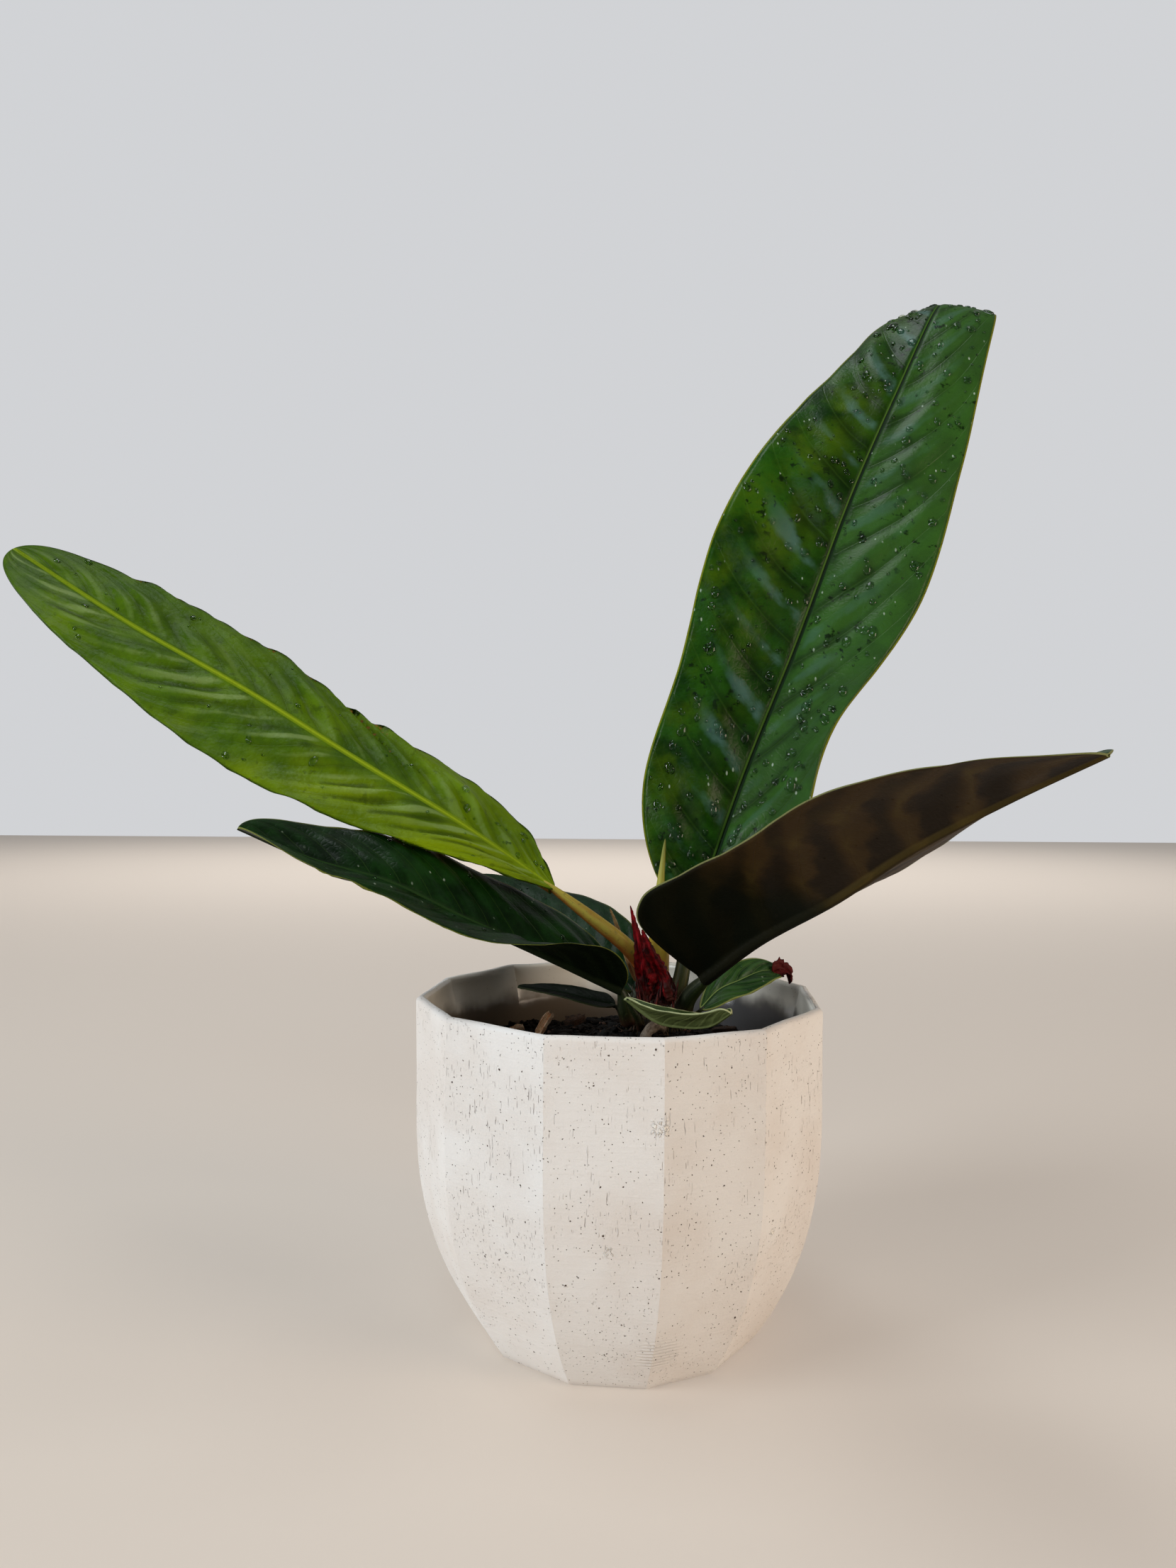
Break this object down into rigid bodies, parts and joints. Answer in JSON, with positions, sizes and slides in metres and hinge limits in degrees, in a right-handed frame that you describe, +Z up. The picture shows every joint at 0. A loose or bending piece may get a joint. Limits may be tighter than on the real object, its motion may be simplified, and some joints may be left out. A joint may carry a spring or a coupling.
{
  "type": "potted anthurium superbum plant",
  "caption": "Aroid house plant with long stiff quilted leaves on short petioles, rooted in bark mix in a faceted stoneware pot with a flat base.",
  "frame": {"origin": "centre of the pot's flat base, on the surface it stands on", "axes": "+Z up along the pot's axis; +Y away from the front, so the long young leaf points to -X"},
  "size_m": [0.4888, 0.3076, 0.5142],
  "materials": {
    "stoneware": "matte",
    "bark_mix": "matte",
    "stem": "matte",
    "upright_leaf": "satin",
    "young_leaf": "satin",
    "left_leaf": "satin",
    "back_leaf": "satin",
    "right_leaf": "satin",
    "small_left_leaf": "satin",
    "small_front_leaf": "satin",
    "small_right_leaf": "satin",
    "petiole": "satin",
    "young_petiole": "satin",
    "red_sheath": "satin",
    "dry_sheath": "matte",
    "spear": "satin",
    "root": "matte",
    "pale_bark": "matte",
    "dark_bark": "matte"
  },
  "bodies": {
    "root": {"pot": "stoneware", "potting_mix": "bark_mix", "stem": "stem", "upright_leaf_blade": "upright_leaf", "upright_leaf_petiole": "petiole", "young_leaf_blade": "young_leaf", "young_leaf_petiole": "young_petiole", "left_leaf_blade": "left_leaf", "left_leaf_petiole": "petiole", "back_leaf_blade": "back_leaf", "back_leaf_petiole": "petiole", "right_leaf_blade": "right_leaf", "right_leaf_petiole": "petiole", "small_left_leaf_blade": "small_left_leaf", "small_left_leaf_petiole": "petiole", "small_front_leaf_blade": "small_front_leaf", "small_front_leaf_petiole": "petiole", "small_right_leaf_blade": "small_right_leaf", "small_right_leaf_petiole": "petiole", "red_sheath_left": "red_sheath", "red_sheath_right": "red_sheath", "dry_sheath": "dry_sheath", "new_leaf_spear": "spear", "aerial_root_front": "root", "aerial_root_back": "root", "bark_chip_curled": "pale_bark", "bark_chip_pale_1": "pale_bark", "bark_chip_pale_2": "pale_bark", "bark_chip_dark_1": "dark_bark", "bark_chip_dark_2": "dark_bark", "bark_chip_dark_3": "dark_bark", "bark_chip_front": "dark_bark"}
  },
  "joints": []
}
